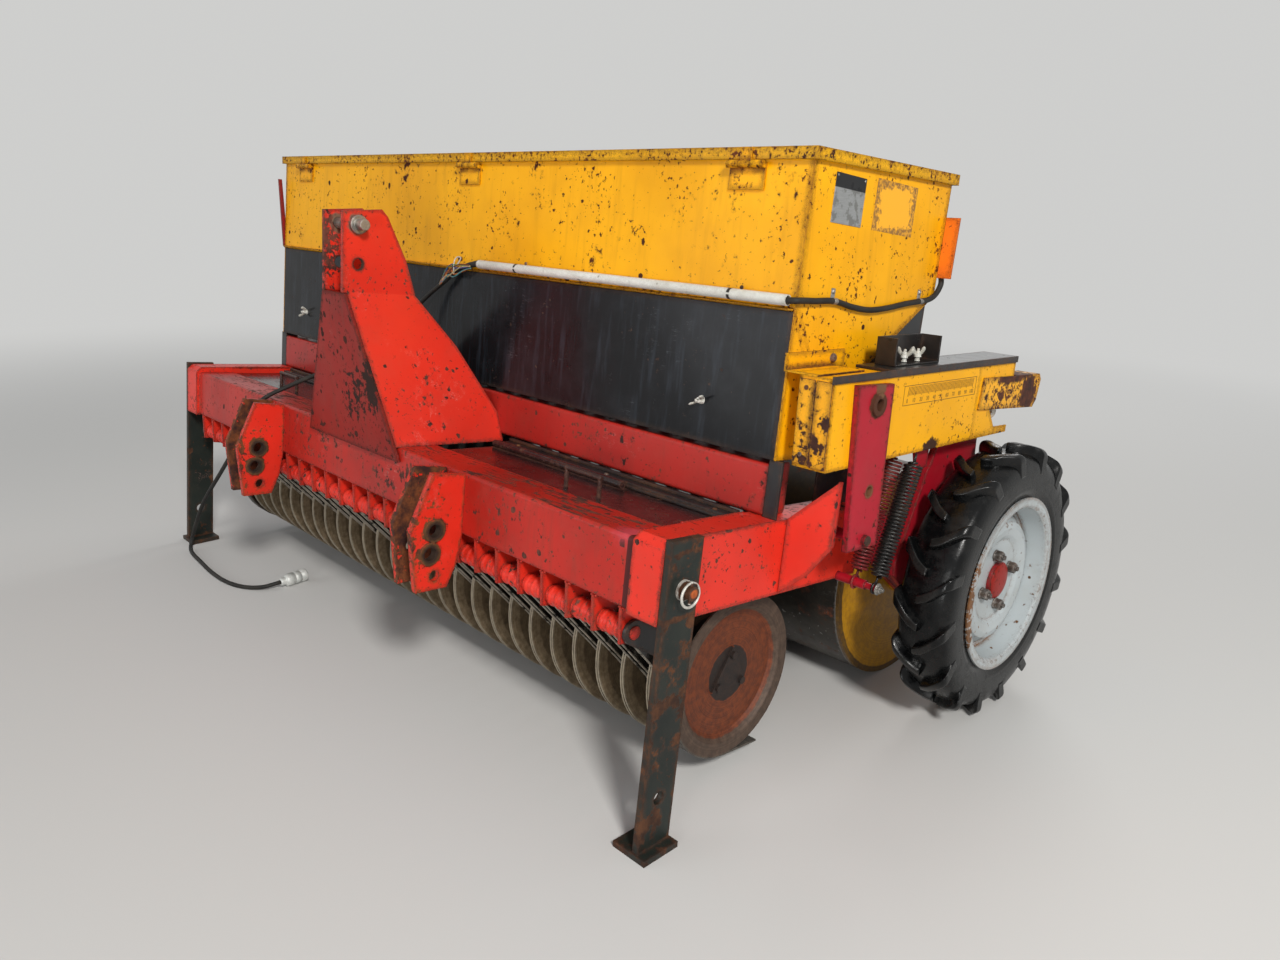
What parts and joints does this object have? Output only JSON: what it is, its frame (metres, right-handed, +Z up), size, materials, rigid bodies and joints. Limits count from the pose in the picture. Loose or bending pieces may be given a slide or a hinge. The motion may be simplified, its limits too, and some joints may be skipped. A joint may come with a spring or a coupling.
{
  "type": "mounted disc overseeder",
  "caption": "Mounted seed drill for grassland: hinged seed hopper, rows of paired discs, rear roller, ground-drive wheel and parking legs.",
  "frame": {"origin": "middle of the footprint, on the ground the machine is parked on", "axes": "+X across the machine, towards the side with the drive wheel, which is its right as seen from in front; +Y to the rear, away from the hitch; +Z up; the parked machine is pitched nose-up by 5.74 degrees about X"},
  "size_m": [2.3924, 1.4068, 1.2476],
  "materials": {
    "red_paint": "worn gloss",
    "black_paint": "satin",
    "dark_steel": "oiled",
    "leg_paint": "worn, rusty",
    "worn_steel": "worn",
    "yellow_paint": "worn gloss",
    "rusty_steel": "rusty",
    "white_plastic": "satin",
    "crimson_paint": "worn gloss",
    "orange_paint": "worn gloss",
    "black_rubber": "satin",
    "tyre_rubber": "satin",
    "rim_paint": "gloss",
    "plug_metal": "worn"
  },
  "bodies": {
    "frame": {"front_beam": "red_paint", "side_members": "red_paint", "rear_rail": "red_paint", "deck_covers": "black_paint", "headstock_plates": "red_paint", "headstock_front": "red_paint", "top_link_pin": "dark_steel", "hitch_lugs": "red_paint", "hopper_shell": "yellow_paint", "hopper_cover": "black_paint", "hopper_feet": "black_paint", "lid_hinges": "yellow_paint", "conduit": "white_plastic", "side_bracket": "crimson_paint", "marker_plate": "orange_paint", "metering_box": "black_paint", "seed_tubes": "black_rubber", "drive_housing": "yellow_paint", "housing_cover": "black_paint", "adjuster_box": "black_paint", "end_bracket": "yellow_paint", "scale_knob": "white_plastic", "gusset": "red_paint", "link_plate": "crimson_paint", "spring_mounts": "red_paint", "springs": "dark_steel", "wheel_arm": "crimson_paint", "roller_arms": "red_paint", "coulter_tube": "red_paint", "coulter_bushes": "red_paint", "coulter_arms": "black_paint", "coulter_discs": "worn_steel", "end_arms": "black_paint", "end_discs": "rusty_steel", "side_cable": "black_rubber", "cord": "black_rubber", "cord_plug": "plug_metal"},
    "lid": {"lid": "yellow_paint", "lid_straps": "rusty_steel"},
    "drive_wheel": {"tyre": "tyre_rubber", "rim": "rim_paint", "hub": "red_paint"},
    "roller": {"roller_drum": "black_paint", "roller_ends": "yellow_paint"},
    "leg_left": {"leg_left": "leg_paint", "leg_pin_left": "worn_steel"},
    "leg_right": {"leg_right": "leg_paint", "leg_pin_right": "worn_steel"}
  },
  "joints": [
    {"name": "lid_hinge", "type": "hinge", "parent": "frame", "child": "lid", "pos_m": [-0.07975, -0.21655, 1.21737], "axis": [1, 0, 0], "range_deg": [0, 100]},
    {"name": "wheel_spin", "type": "hinge", "parent": "frame", "child": "drive_wheel", "pos_m": [1.13225, 0.3814, 0.322], "axis": [1, 0, 0], "continuous": true},
    {"name": "roller_spin", "type": "hinge", "parent": "frame", "child": "roller", "pos_m": [-0.07975, 0.38321, 0.27], "axis": [1, 0, 0], "continuous": true},
    {"name": "leg_slide_left", "type": "slide", "parent": "frame", "child": "leg_left", "axis": [0, 0.1, 0.995], "range_m": [0, 0.399]},
    {"name": "leg_slide_right", "type": "slide", "parent": "frame", "child": "leg_right", "axis": [0, 0.1, 0.995], "range_m": [0, 0.399]}
  ]
}
